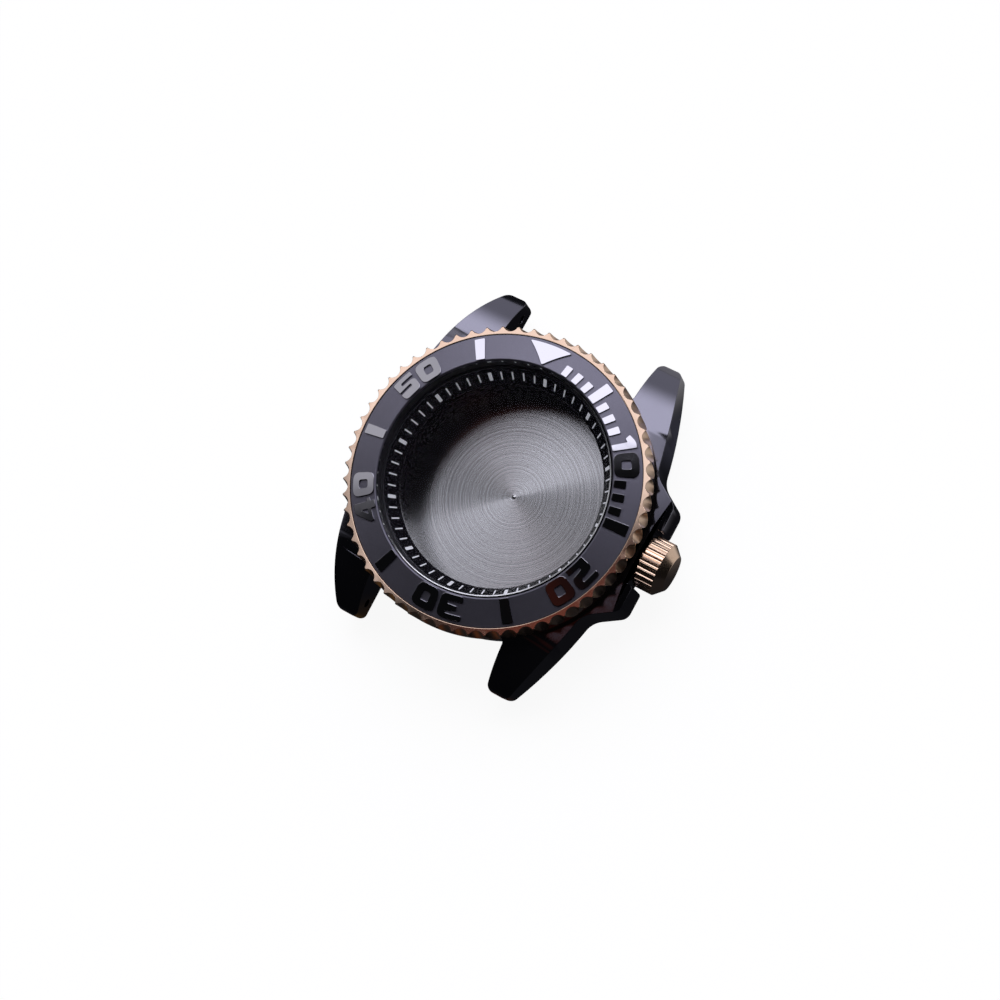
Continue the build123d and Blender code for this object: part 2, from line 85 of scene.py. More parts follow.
# Crystal and the minute ring under it
CRYSTAL_RADIUS = 15.1
CRYSTAL_BOTTOM = 10.85
CRYSTAL_TOP = 13.6
CRYSTAL_BEVEL = 0.12
CHAPTER_REST_TURN = 3.4
CHAPTER_BOTTOM = 7.9
CHAPTER_TOP = 10.3
CHAPTER_FOOT = 8.3
CHAPTER_INNER = 13.4
CHAPTER_RIM = 14.7
CHAPTER_OUTER = 15.1
CHAPTER_MARK_FOOT = 13.74
CHAPTER_MARK_HEIGHT = 0.72
CHAPTER_MARK_WIDTH = 0.22
CHAPTER_FIVE_WIDTH = 0.54
CHAPTER_MARK_CORNER = 0.06
CHAPTER_MARK_RISE = 0.03
CHAPTER_MARK_EDGE = 0.01

# Crown
CROWN_AXIS_HEIGHT = 6.0
CROWN_START = 20.5
CROWN_END = 24.4
CROWN_RADIUS = 3.5
CROWN_INNER_CHAMFER = 0.3
CROWN_END_RADIUS = 2.35
CROWN_TAPER_START = 23.25
CROWN_BORE = 1.58
CROWN_CHAMBER = 1.2
CROWN_CHAMBER_START = 21.95
CROWN_CHAMBER_END = 23.95
FLUTE_COUNT = 26
FLUTE_RADIUS = 0.27
FLUTE_OUTSET = 0.04

# Case back
BACK_INNER_RADIUS = 14.59
BACK_WALL_REACH = 0.1
BACK_PLATE_MIDDLE = 0.5
BACK_FLOOR_LIMIT = 1.2

# The photograph's view in metres, from a lens fit
CAMERA_PLACE = (0.06798, -0.0184487, 0.2117924)
CAMERA_RIGHT = (0.846258, 0.4752109, -0.2408776)
CAMERA_UP = (-0.4310159, 0.8764147, 0.2147615)
CAMERA_BACK = (0.3131657, -0.0779216, 0.9464964)
CAMERA_LENS = 60.609
CAMERA_SENSOR = 36.0


# Node trees

def add_node(tree, kind, values=None, **settings):
    """Adds a node, gives it its settings, and sets or links its inputs."""
    made = tree.nodes.new(kind)
    for name, value in settings.items():
        setattr(made, name, value)
    for socket, value in (values or {}).items():
        if isinstance(value, bpy.types.NodeSocket):
            tree.links.new(value, made.inputs[socket])
        else:
            made.inputs[socket].default_value = value
    return made


def maths(tree, operation, first, second=0.0, third=0.0):
    """One sum on a number that varies."""
    values = {0: first, 1: second, 2: third}
    return add_node(tree, "ShaderNodeMath", values, operation=operation).outputs[0]


def ramp(tree, value, low, high, from_low, from_high):
    """Blends softly from one number to another while the value crosses a range."""
    values = {"Value": value, "From Min": from_low, "From Max": from_high, "To Min": low, "To Max": high}
    return add_node(tree, "ShaderNodeMapRange", values, interpolation_type="SMOOTHSTEP").outputs["Result"]


def along(tree, place, x, y):
    """How far a place lies along a level direction."""
    values = {0: place, 1: (x, y, 0.0)}
    return add_node(tree, "ShaderNodeVectorMath", values, operation="DOT_PRODUCT").outputs["Value"]


def away(tree, place, x, y):
    """Distance of a place from a point."""
    values = {0: place, 1: (x, y, 0.0)}
    return add_node(tree, "ShaderNodeVectorMath", values, operation="DISTANCE").outputs["Value"]


def new_group(name, numbers, outputs):
    """An empty shader group with named number inputs and outputs, and a vector for its place."""
    group = bpy.data.node_groups.new(name, "ShaderNodeTree")
    place = group.interface.new_socket("Place", in_out="INPUT", socket_type="NodeSocketVector")
    place.hide_value = True
    for label, value in numbers.items():
        socket = group.interface.new_socket(label, in_out="INPUT", socket_type="NodeSocketFloat")
        socket.default_value = value
    for label in outputs:
        group.interface.new_socket(label, in_out="OUTPUT", socket_type="NodeSocketFloat")
    entry = add_node(group, "NodeGroupInput")
    exit_node = add_node(group, "NodeGroupOutput")
    return group, entry, exit_node


def make_grain_group():
    """Fine grain of a blasted, moulded or pressed surface: a height, and a mask of its speckle."""
    group, entry, leave = new_group("fine_grain", {"Size": 0.1, "Roughness": 0.6}, ["Height", "Speckle"])
    scale = maths(group, "DIVIDE", 1 / MM, entry.outputs["Size"])
    place, roughness = entry.outputs["Place"], entry.outputs["Roughness"]
    grain = add_node(
        group,
        "ShaderNodeTexNoise",
        {"Vector": place, "Scale": scale, "Detail": 3.0, "Roughness": roughness},
    )
    group.links.new(grain.outputs[0], leave.inputs["Height"])
    group.links.new(ramp(group, grain.outputs[0], 0.0, 1.0, 0.35, 0.65), leave.inputs["Speckle"])
    return group


def make_turning_group():
    """Rings that a lathe tool leaves round the Z axis: a height, and a mask of lighter and darker rings."""
    group, entry, leave = new_group("turned_rings", {"Pitch": 0.1, "Unevenness": 0.5}, ["Height", "Rings"])
    apart = add_node(group, "ShaderNodeSeparateXYZ", {0: entry.outputs["Place"]})
    flat = add_node(group, "ShaderNodeCombineXYZ", {"X": apart.outputs["X"], "Y": apart.outputs["Y"]})
    length = add_node(group, "ShaderNodeVectorMath", {0: flat.outputs[0]}, operation="LENGTH")
    radius = maths(group, "DIVIDE", length.outputs["Value"], MM)
    turns = maths(group, "DIVIDE", radius, entry.outputs["Pitch"])
    uneven = add_node(
        group,
        "ShaderNodeTexNoise",
        {"W": turns, "Scale": 0.9, "Detail": 3.0, "Roughness": 0.7},
        noise_dimensions="1D",
    )
    wave = maths(group, "SINE", maths(group, "MULTIPLY", turns, math.tau))
    regular = maths(group, "MULTIPLY_ADD", wave, 0.5, 0.5)
    height = add_node(
        group,
        "ShaderNodeMix",
        {0: entry.outputs["Unevenness"], 2: regular, 3: uneven.outputs[0]},
    )
    group.links.new(height.outputs[0], leave.inputs["Height"])
    group.links.new(ramp(group, uneven.outputs[0], 0.0, 1.0, 0.38, 0.62), leave.inputs["Rings"])
    return group


def make_handling_group():
    """Faint uneven polish that handling leaves: a number between 0, clean, and 1, dulled."""
    group, entry, leave = new_group("handling", {"Size": 3.0, "Amount": 1.0}, ["Dulling"])
    scale = maths(group, "DIVIDE", 1 / MM, entry.outputs["Size"])
    cloud = add_node(
        group,
        "ShaderNodeTexNoise",
        {"Vector": entry.outputs["Place"], "Scale": scale, "Detail": 5.0, "Roughness": 0.65},
    )
    mask = ramp(group, cloud.outputs[0], 0.0, 1.0, 0.4, 0.75)
    group.links.new(maths(group, "MULTIPLY", mask, entry.outputs["Amount"]), leave.inputs["Dulling"])
    return group


fine_grain = make_grain_group()
turned_rings = make_turning_group()
handling = make_handling_group()


def new_material(name, color, metallic, roughness, **plain):
    """A material with one Principled shader. Returns it with its tree, shader and object coordinates."""
    made = bpy.data.materials.new(name)
    made.use_nodes = True
    tree = made.node_tree
    shader = tree.nodes["Principled BSDF"]
    shader.inputs["Base Color"].default_value = (*color, 1.0)
    shader.inputs["Metallic"].default_value = metallic
    shader.inputs["Roughness"].default_value = roughness
    for label, value in plain.items():
        shader.inputs[label.replace("_", " ")].default_value = value
    place = add_node(tree, "ShaderNodeTexCoord").outputs["Object"]
    return made, tree, shader, place


def use_group(tree, group, place, **numbers):
    """Puts a shared effect into a material with its own values."""
    made = tree.nodes.new("ShaderNodeGroup")
    made.node_tree = group
    tree.links.new(place, made.inputs["Place"])
    for label, value in numbers.items():
        made.inputs[label].default_value = value
    return made


def blend_colors(tree, mask, first, second):
    """A colour between two, by a mask."""
    made = add_node(tree, "ShaderNodeMix", data_type="RGBA")
    made.inputs[6].default_value = (*first, 1.0)
    made.inputs[7].default_value = (*second, 1.0)
    tree.links.new(mask, made.inputs[0])
    return made.outputs[2]


def bump(tree, shader, height, depth):
    """Feeds a height into the shader's normal. The depth is in millimetres."""
    made = add_node(tree, "ShaderNodeBump", {"Strength": 1.0, "Distance": depth * MM, "Height": height})
    tree.links.new(made.outputs[0], shader.inputs["Normal"])


def black_coat():
    """Glossy black coating of the case middle, a little duller where it was handled."""
    made, tree, shader, place = new_material("black_coat", (0.004, 0.004, 0.005), 0.0, 0.12, IOR=2.75)
    shader.inputs["Specular Tint"].default_value = (0.85, 0.84, 1.0, 1.0)
    dulled = use_group(tree, handling, place, Size=4.0, Amount=1.0)
    tree.links.new(ramp(tree, dulled.outputs[0], 0.10, 0.17, 0.0, 1.0), shader.inputs["Roughness"])
    return made


def rose_gold(name, clean, dull):
    """Rose-gold coating, from its cleanest to its dullest roughness."""
    made, tree, shader, place = new_material(name, (0.95, 0.7, 0.51), 1.0, clean)
    dulled = use_group(tree, handling, place, Size=2.0, Amount=1.0)
    tree.links.new(ramp(tree, dulled.outputs[0], clean, dull, 0.0, 1.0), shader.inputs["Roughness"])
    color = blend_colors(tree, dulled.outputs[0], (0.97, 0.72, 0.53), (0.93, 0.66, 0.47))
    tree.links.new(color, shader.inputs["Base Color"])
    return made


def blasted_ceramic():
    """Sandblasted dark ceramic between the raised marks."""
    made, tree, shader, place = new_material("blasted_ceramic", (0.22, 0.215, 0.262), 1.0, 0.5)
    grain = use_group(tree, fine_grain, place, Size=0.06, Roughness=0.7)
    color = blend_colors(tree, grain.outputs["Speckle"], (0.2, 0.195, 0.24), (0.25, 0.243, 0.29))
    tree.links.new(color, shader.inputs["Base Color"])
    bump(tree, shader, grain.outputs["Height"], 0.012)
    return made


def polished_ceramic():
    """Mirror-polished faces of the raised marks."""
    made, tree, shader, place = new_material("polished_ceramic", (0.46, 0.455, 0.49), 1.0, 0.05)
    dulled = use_group(tree, handling, place, Size=1.5, Amount=1.0)
    tree.links.new(ramp(tree, dulled.outputs[0], 0.03, 0.07, 0.0, 1.0), shader.inputs["Roughness"])
    return made


def sapphire():
    """Clear crystal that bends the view. Shadow, diffuse and mirrored rays pass straight through it."""
    made, tree, shader, _ = new_material(
        "sapphire", (0.985, 0.99, 1.0), 0.0, 0.0, IOR=1.5, Transmission_Weight=1.0
    )
    shader.inputs["Specular Tint"].default_value = (0.08, 0.08, 0.1, 1.0)
    path = add_node(tree, "ShaderNodeLightPath")
    clear = add_node(tree, "ShaderNodeBsdfTransparent", {"Color": (0.97, 0.975, 0.98, 1.0)})
    meeting = maths(tree, "MAXIMUM", path.outputs["Is Camera Ray"], path.outputs["Is Transmission Ray"])
    passing = maths(tree, "SUBTRACT", 1.0, meeting)
    both = add_node(tree, "ShaderNodeMixShader", {0: passing, 1: shader.outputs[0], 2: clear.outputs[0]})
    tree.links.new(both.outputs[0], tree.nodes["Material Output"].inputs["Surface"])
    return made


def gloss_black():
    """Black enamel of the minute ring."""
    made, tree, shader, place = new_material("gloss_black", (0.008, 0.008, 0.011), 0.0, 0.25)
    grain = use_group(tree, fine_grain, place, Size=0.6, Roughness=0.5)
    tree.links.new(ramp(tree, grain.outputs["Height"], 0.22, 0.3, 0.3, 0.7), shader.inputs["Roughness"])
    bump(tree, shader, grain.outputs["Height"], 0.001)
    return made


def pale_paint():
    """Pale paint of the minute marks. A faint glow makes up for how little light this studio gives them."""
    made, tree, shader, place = new_material("pale_paint", (0.95, 0.95, 1.0), 0.0, 0.4)
    grain = use_group(tree, fine_grain, place, Size=0.08, Roughness=0.6)
    color = blend_colors(tree, grain.outputs["Speckle"], (0.92, 0.92, 0.98), (0.98, 0.98, 1.0))
    tree.links.new(color, shader.inputs["Base Color"])
    shader.inputs["Emission Color"].default_value = (0.9, 0.92, 1.0, 1.0)
    shader.inputs["Emission Strength"].default_value = 0.3
    return made


def turned_steel():
    """Case back: concentric tool rings whose shine fans out from the middle."""
    made, tree, shader, place = new_material(
        "turned_steel", (0.61, 0.61, 0.6), 1.0, 0.2, Anisotropic=1.0, Anisotropic_Rotation=0.25
    )
    rings = use_group(tree, turned_rings, place, Pitch=0.24, Unevenness=0.4)
    tangent = add_node(tree, "ShaderNodeTangent", direction_type="RADIAL", axis="Z")
    tree.links.new(tangent.outputs[0], shader.inputs["Tangent"])
    color = blend_colors(tree, rings.outputs["Rings"], (0.56, 0.56, 0.55), (0.66, 0.66, 0.65))
    tree.links.new(color, shader.inputs["Base Color"])
    tree.links.new(ramp(tree, rings.outputs["Rings"], 0.21, 0.19, 0.0, 1.0), shader.inputs["Roughness"])
    bump(tree, shader, rings.outputs["Height"], 0.0025)
    return made


def machined_steel(name, color, along_crown):
    """Bare steel of the small turned parts, with tool rings round the crown's axis or the case's."""
    made, tree, shader, place = new_material(name, color, 1.0, 0.25)
    if along_crown:
        lifted = add_node(tree, "ShaderNodeVectorMath", {0: place, 1: (0, 0, -CROWN_AXIS_HEIGHT * MM)})
        values = {"Vector": lifted.outputs[0], "Rotation": (0, math.pi / 2, 0)}
        place = add_node(tree, "ShaderNodeMapping", values, vector_type="POINT").outputs[0]
    rings = use_group(tree, turned_rings, place, Pitch=0.12, Unevenness=0.6)
    tree.links.new(ramp(tree, rings.outputs["Rings"], 0.2, 0.34, 0.0, 1.0), shader.inputs["Roughness"])
    bump(tree, shader, rings.outputs["Height"], 0.003)
    return made


def plain_soft(name, color, roughness, size, depth):
    """Nylon, rubber and tape: a matt surface with a moulded or pressed grain."""
    made, tree, shader, place = new_material(name, color, 0.0, roughness)
    grain = use_group(tree, fine_grain, place, Size=size, Roughness=0.55)
    darker = tuple(0.85 * part for part in color)
    tree.links.new(blend_colors(tree, grain.outputs["Speckle"], darker, color), shader.inputs["Base Color"])
    bump(tree, shader, grain.outputs["Height"], depth)
    return made


black = black_coat()
gold = rose_gold("rose_gold", 0.05, 0.12)
satin_gold = rose_gold("satin_rose_gold", 0.3, 0.4)
crown_gold = rose_gold("crown_rose_gold", 0.2, 0.27)
insert_ground = blasted_ceramic()
mark_face = polished_ceramic()
crystal_clear = sapphire()
ring_black = gloss_black()
mark_paint = pale_paint()
back_steel = turned_steel()
crown_steel = machined_steel("machined_steel", (0.6, 0.6, 0.62), True)
spring_steel = machined_steel("spring_steel", (0.5, 0.5, 0.52), False)
nylon = plain_soft("black_nylon", (0.02, 0.02, 0.022), 0.5, 0.3, 0.004)
rubber = plain_soft("black_rubber", (0.02, 0.02, 0.02), 0.75, 0.15, 0.006)
tape = plain_soft("pale_tape", (0.83, 0.82, 0.78), 0.7, 0.25, 0.004)


# Meshes

def lathe(outline, steps=360):
    """A closed outline of (radius, height) turned once round Z, as a bmesh in millimetres."""
    shape = bmesh.new()
    corners = [shape.verts.new((radius, 0, height)) for radius, height in outline]
    edges = [shape.edges.new((corners[i - 1], corners[i])) for i in range(len(corners))]
    bmesh.ops.spin(
        shape,
        geom=corners + edges,
        cent=(0, 0, 0),
        axis=(0, 0, 1),
        angle=math.tau,
        steps=steps,
        use_merge=True,
    )
    bmesh.ops.remove_doubles(shape, verts=shape.verts, dist=0.0005)
    bmesh.ops.delete(shape, geom=[edge for edge in shape.edges if not edge.link_faces], context="EDGES")
    bmesh.ops.recalc_face_normals(shape, faces=shape.faces)
    return shape


def write_mesh(shape, name):
    """Writes a bmesh that is in millimetres as a mesh object in metres."""
    bmesh.ops.scale(shape, vec=(MM, MM, MM), verts=shape.verts)
    mesh = bpy.data.meshes.new(name)
    shape.to_mesh(mesh)
    shape.free()
    made = bpy.data.objects.new(name, mesh)
    bpy.context.scene.collection.objects.link(made)
    return made


def carve(piece, shape):
    """Cuts a bmesh in millimetres out of a piece."""
    tool = write_mesh(shape, "carving_tool")
    cut = piece.modifiers.new("carve", "BOOLEAN")
    cut.operation = "DIFFERENCE"
    cut.solver = "EXACT"
    cut.object = tool
    bpy.context.view_layer.update()
    carved = piece.evaluated_get(bpy.context.evaluated_depsgraph_get())
    old = piece.data
    piece.modifiers.clear()
    piece.data = bpy.data.meshes.new_from_object(carved)
    piece.data.name = piece.name
    bpy.data.meshes.remove(old)
    bpy.data.objects.remove(tool)


def soften(piece, width, angle=30):
    """Smooth faces, with a small rounded edge wherever two faces meet at more than the angle."""
    piece.data.shade_smooth()
    piece.data.set_sharp_from_angle(angle=math.radians(angle))
    edge = piece.modifiers.new("rounded_edges", "BEVEL")
    edge.width = width * MM
    edge.segments = 2
    edge.limit_method = "ANGLE"
    edge.angle_limit = math.radians(angle)
    edge.use_clamp_overlap = False
    edge.harden_normals = True


def dress(piece, material, body):
    """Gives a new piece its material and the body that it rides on."""
    piece.data.materials.clear()
    piece.data.materials.append(material)
    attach(piece, body)


def turn_about_z(shape, degrees):
    """Turns a bmesh about the case's axis."""
    turn = Matrix.Rotation(math.radians(degrees), 3, "Z")
    bmesh.ops.rotate(shape, verts=shape.verts, cent=(0, 0, 0), matrix=turn)


def lay_on_crown_axis(shape):
    """Lays a bmesh that was turned about Z along the crown's axis."""
    stand = Matrix(((0, 0, 1, 0), (1, 0, 0, 0), (0, 1, 0, CROWN_AXIS_HEIGHT), (0, 0, 0, 1)))
    bmesh.ops.transform(shape, matrix=stand, verts=shape.verts)


# Case middle

def make_case_middle():
    """The case middle's own faces, joined up and with softly rounded edges."""
    shape = bmesh.new()
    shape.from_mesh(nodes["mid_case"].data)
    bmesh.ops.remove_doubles(shape, verts=shape.verts, dist=0.002 * MM)
    bmesh.ops.dissolve_limit(shape, angle_limit=math.radians(0.4), verts=shape.verts, edges=shape.edges)
    bmesh.ops.scale(shape, vec=(1 / MM, 1 / MM, 1 / MM), verts=shape.verts)
    piece = write_mesh(shape, "case_middle")
    soften(piece, width=0.07, angle=35)
    dress(piece, black, "case")
    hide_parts("mid_case")


# Bezel

def scallop_tools():
    """Sixty leaning round tools that scoop out the bezel's edge."""
    lean = math.atan2(SCALLOP_DEPTH, SCALLOP_HEIGHT)
    axis_radius = BEZEL_RADIUS - SCALLOP_DEPTH + SCALLOP_RADIUS / math.cos(lean)
    above, below = 0.4, 5.0
    step = 360 / TOOTH_COUNT
    tools = bmesh.new()
    for index in range(TOOTH_COUNT):
        made = bmesh.ops.create_cone(
            tools,
            cap_ends=True,
            segments=56,
            radius1=SCALLOP_RADIUS,
            radius2=SCALLOP_RADIUS,
            depth=above + below,
        )
        place = (
            Matrix.Rotation(math.radians(BEZEL_REST_TURN + step * index), 4, "Z")
            @ Matrix.Translation((axis_radius, 0, BEZEL_TOP))
            @ Matrix.Rotation(-lean, 4, "Y")
            @ Matrix.Translation((0, 0, (above - below) / 2))
        )
        bmesh.ops.transform(tools, matrix=place, verts=made["verts"])
    return tools


def make_bezel():
    """The turning ring with its scooped teeth, inner lip and hidden grooves."""
    seat_wall = INSERT_RADIUS + BEZEL_SEAT_GAP
    groove_wall = BEZEL_BORE + WIRE_GROOVE_DEPTH
    outline = [
        (BEZEL_BORE, BEZEL_SKIRT_TOP),
        (BEZEL_BORE, WIRE_GROOVE_BOTTOM),
        (groove_wall, WIRE_GROOVE_BOTTOM),
        (groove_wall, WIRE_GROOVE_TOP),
        (BEZEL_BORE, WIRE_GROOVE_TOP),
        (BEZEL_BORE, BEZEL_SEAT_HEIGHT),
        (seat_wall, BEZEL_SEAT_HEIGHT),
        (seat_wall, BEZEL_TOP - BEZEL_RIM_INNER_EDGE),
        (seat_wall + BEZEL_RIM_INNER_EDGE, BEZEL_TOP),
        (BEZEL_RADIUS - BEZEL_RIM_OUTER_EDGE, BEZEL_TOP),
        (BEZEL_RADIUS, BEZEL_TOP - BEZEL_RIM_OUTER_EDGE),
        (BEZEL_RADIUS, BEZEL_FOOT_TOP),
        (BEZEL_FOOT_RADIUS, BEZEL_BOTTOM),
        (BEZEL_LIP_RADIUS, BEZEL_BOTTOM),
        (BEZEL_LIP_RADIUS, BEZEL_SKIRT_TOP),
    ]
    piece = write_mesh(lathe(outline, steps=480), "bezel")
    carve(piece, scallop_tools())
    soften(piece, width=0.03, angle=28)
    dress(piece, gold, "bezel")
    piece.data.materials.append(satin_gold)
    skin = 0.03
    least_outward = 0.2
    for face in piece.data.polygons:
        middle = face.center / MM
        radius = math.hypot(middle.x, middle.y)
        outward = (face.normal.x * middle.x + face.normal.y * middle.y) / radius
        scooped = SCALLOP_INNER_RADIUS < radius < BEZEL_RADIUS - skin and middle.z > SCALLOP_LOWEST
        if scooped and outward > least_outward:
            face.material_index = 1
    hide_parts("bezel_ring")


def insert_height(radius):
    """Height of the insert's slope at a radius."""
    start = INSERT_BORE + INSERT_LIP
    fall = (INSERT_INNER_TOP - INSERT_OUTER_TOP) / (INSERT_RADIUS - start)
    return INSERT_INNER_TOP - fall * (radius - start)


def make_insert():
    """Sloping ring under the raised marks."""
    outline = [
        (INSERT_BORE, INSERT_BOTTOM),
        (INSERT_RADIUS, INSERT_BOTTOM),
        (INSERT_RADIUS, INSERT_OUTER_TOP),
        (INSERT_BORE + INSERT_LIP, INSERT_INNER_TOP),
        (INSERT_BORE, INSERT_INNER_TOP - INSERT_LIP / 2),
    ]
    piece = write_mesh(lathe(outline), "insert")
    soften(piece, width=0.04, angle=12)
    dress(piece, insert_ground, "bezel")
    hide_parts("bezel_insert")


# Outlines of the marks, in millimetres: x runs clockwise round the dial and y outwards.
# A third number rounds that corner.

def bar(width, height, corner=0.16):
    """A straight mark with rounded corners."""
    half = width / 2
    return [[(-half, 0, corner), (half, 0, corner), (half, height, corner), (-half, height, corner)]]


ARROW = [[(0, 0, 0.3), (2.75, MARK_HEIGHT, 0.35), (-2.75, MARK_HEIGHT, 0.35)]]

DIGITS = {
    "0": (3.1, [
        [(0, 0, 0.95), (3.1, 0, 0.95), (3.1, 3.05, 0.95), (0, 3.05, 0.95)],
        [(1.0, 0.93, 0.28), (2.1, 0.93, 0.28), (2.1, 2.12, 0.28), (1.0, 2.12, 0.28)],
    ]),
    "1": (1.72, [
        [(0.84, 0, 0.15), (1.72, 0, 0.15), (1.72, 3.05, 0.15), (0.95, 3.05, 0.35),
         (0, 2.5, 0.15), (0.38, 1.85, 0.15), (0.84, 1.98, 0.1)],
    ]),
    "2": (2.95, [
        [(0, 0, 0.15), (2.95, 0, 0.15), (2.95, 0.72, 0.15), (1.15, 0.72, 0.12), (1.15, 1.05, 0.12),
         (2.95, 1.3, 0.6), (2.95, 3.05, 0.85), (0, 3.05, 0.45), (0, 2.38, 0.15), (1.95, 2.38, 0.12),
         (1.95, 2.02, 0.12), (0, 1.75, 0.6)],
    ]),
    "3": (3.1, [
        [(0, 0, 0.5), (3.1, 0, 0.85), (3.1, 1.6, 0.3), (3.1, 3.05, 0.85), (0, 3.05, 0.45), (0, 2.4, 0.15),
         (2.05, 2.4, 0.12), (2.05, 2.05, 0.12), (0.75, 1.9, 0.15), (0.75, 1.3, 0.15), (2.05, 1.2, 0.12),
         (2.05, 0.85, 0.12), (0, 0.75, 0.15)],
    ]),
    "4": (3.2, [
        [(1.72, 0, 0.15), (2.78, 0, 0.15), (2.78, 0.6, 0.1), (3.2, 0.6, 0.15), (3.2, 1.15, 0.15),
         (2.78, 1.15, 0.1), (2.78, 3.05, 0.25), (1.65, 3.05, 0.25), (0, 1.1, 0.2), (0, 0.6, 0.15),
         (1.72, 0.6, 0.1)],
        [(1.12, 1.15, 0.1), (1.78, 1.15, 0.15), (1.78, 2.05, 0.1)],
    ]),
    "5": (2.9, [
        [(0, 0, 0.7), (2.9, 0, 0.85), (2.9, 1.95, 0.7), (0.95, 2.02, 0.12), (0.95, 2.38, 0.12),
         (2.8, 2.38, 0.15), (2.8, 3.05, 0.15), (0.12, 3.05, 0.3), (0.05, 1.47, 0.15), (1.95, 1.47, 0.12),
         (1.95, 1.12, 0.12), (0, 1.12, 0.15)],
    ]),
}
DIGIT_GAP = 0.42


def rounded_loop(corners):
    """Points of an outline, with short arcs at its corners and more points along its long sides."""
    arcs = []
    for index, (x, y, radius) in enumerate(corners):
        here = Vector((x, y))
        before = Vector(corners[index - 1][:2])
        after = Vector(corners[(index + 1) % len(corners)][:2])
        start = here + (before - here).normalized() * radius
        finish = here + (after - here).normalized() * radius
        steps = 4 if radius < 0.4 else 8
        parts = [i / steps for i in range(steps + 1)]
        arcs.append([start.lerp(here, part).lerp(here.lerp(finish, part), part) for part in parts])
    points = []
    spacing = 0.4
    for index, arc in enumerate(arcs):
        points += arc
        end = arcs[(index + 1) % len(arcs)][0]
        count = round((end - arc[-1]).length / spacing)
        points += [arc[-1].lerp(end, i / count) for i in range(1, count)]
    return points


def add_mark(shape, loops, shift, minute, surface, foot, rise, edge):
    """Adds one raised mark: its flat outline is filled, thickened, eased along its edges and wrapped."""
    flat = bmesh.new()
    for corners in loops:
        spots = [flat.verts.new((point.x + shift, point.y, -MARK_SINK)) for point in rounded_loop(corners)]
        for i in range(len(spots)):
            flat.edges.new((spots[i - 1], spots[i]))
    bmesh.ops.remove_doubles(flat, verts=flat.verts, dist=0.004)
    bmesh.ops.triangle_fill(flat, use_beauty=True, edges=flat.edges)
    bmesh.ops.recalc_face_normals(flat, faces=flat.faces)
    if flat.faces[:][0].normal.z < 0:
        bmesh.ops.reverse_faces(flat, faces=flat.faces)
    grown = bmesh.ops.extrude_face_region(flat, geom=flat.faces[:], use_keep_orig=True)
    tops = [part for part in grown["geom"] if isinstance(part, bmesh.types.BMVert)]
    bmesh.ops.translate(flat, verts=tops, vec=(0, 0, MARK_SINK + rise - edge))
    flat.normal_update()
    top_faces = [face for face in flat.faces if face.normal.z > 0.9]
    # Two steps, as shares of the edge, round the top off.
    for width, height in ((0.3, 0.7), (0.7, 0.3)):
        bmesh.ops.inset_region(
            flat, faces=top_faces, use_boundary=True, use_even_offset=True, thickness=edge * width
        )
        tops = list({vert for face in top_faces for vert in face.verts})
        bmesh.ops.translate(flat, verts=tops, vec=(0, 0, edge * height))
    for vert in flat.verts:
        radius = foot + vert.co.y
        angle = math.radians(90 - 6 * minute) - vert.co.x / MARK_MIDDLE_RADIUS
        vert.co = (radius * math.cos(angle), radius * math.sin(angle), surface(radius) + vert.co.z)
    bmesh.ops.recalc_face_normals(flat, faces=flat.faces)
    carrier = bpy.data.meshes.new("one_mark")
    flat.to_mesh(carrier)
    flat.free()
    shape.from_mesh(carrier)
    bpy.data.meshes.remove(carrier)


def crisp(piece):
    """Smooth faces with every small bevel kept crisp."""
    piece.data.shade_smooth()
    piece.data.set_sharp_from_angle(angle=math.radians(20))


def make_insert_marks():
    """Triangle, bars and numerals that stand up from the insert."""
    shape = bmesh.new()

    def mark(loops, minute, shift=0.0):
        add_mark(shape, loops, shift, minute, insert_height, MARK_FOOT, MARK_RISE, MARK_EDGE)

    mark(ARROW, 0)
    for minute in (5, 15, 25, 35, 45, 55):
        mark(bar(FIVE_MINUTE_BAR_WIDTH, MARK_HEIGHT), minute)
    for minute in (2, 3, 4, 6, 7, 8, 12, 13, 14):
        mark(bar(MINUTE_BAR_WIDTH, MINUTE_BAR_HEIGHT), minute)
    for minute in (10, 20, 30, 40, 50):
        first_width, first = DIGITS[str(minute)[0]]
        second_width, second = DIGITS["0"]
        start = -(first_width + DIGIT_GAP + second_width) / 2
        mark(first, minute, start)
        mark(second, minute, start + first_width + DIGIT_GAP)
    turn_about_z(shape, BEZEL_REST_TURN)
    piece = write_mesh(shape, "insert_marks")
    crisp(piece)
    dress(piece, mark_face, "bezel")


# Crystal and minute ring

def make_crystal():
    """Flat crystal with a polished bevel round its top edge."""
    outline = [
        (0, CRYSTAL_BOTTOM),
        (CRYSTAL_RADIUS, CRYSTAL_BOTTOM),
        (CRYSTAL_RADIUS, CRYSTAL_TOP - CRYSTAL_BEVEL),
        (CRYSTAL_RADIUS - CRYSTAL_BEVEL, CRYSTAL_TOP),
        (0, CRYSTAL_TOP),
    ]
    piece = write_mesh(lathe(outline, steps=512), "watch_crystal")
    dress(piece, crystal_clear, "case")
    # The crystal's wall takes the black of the gasket that it stands in.
    piece.data.materials.append(nylon)
    for face in piece.data.polygons:
        if abs(face.normal.z) < 0.2:
            face.material_index = 1
    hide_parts("crystal")


def chapter_height(radius):
    """Height of the minute ring's slope at a radius."""
    rise = (CHAPTER_TOP - CHAPTER_FOOT) / (CHAPTER_RIM - CHAPTER_INNER)
    return CHAPTER_FOOT + rise * (radius - CHAPTER_INNER)


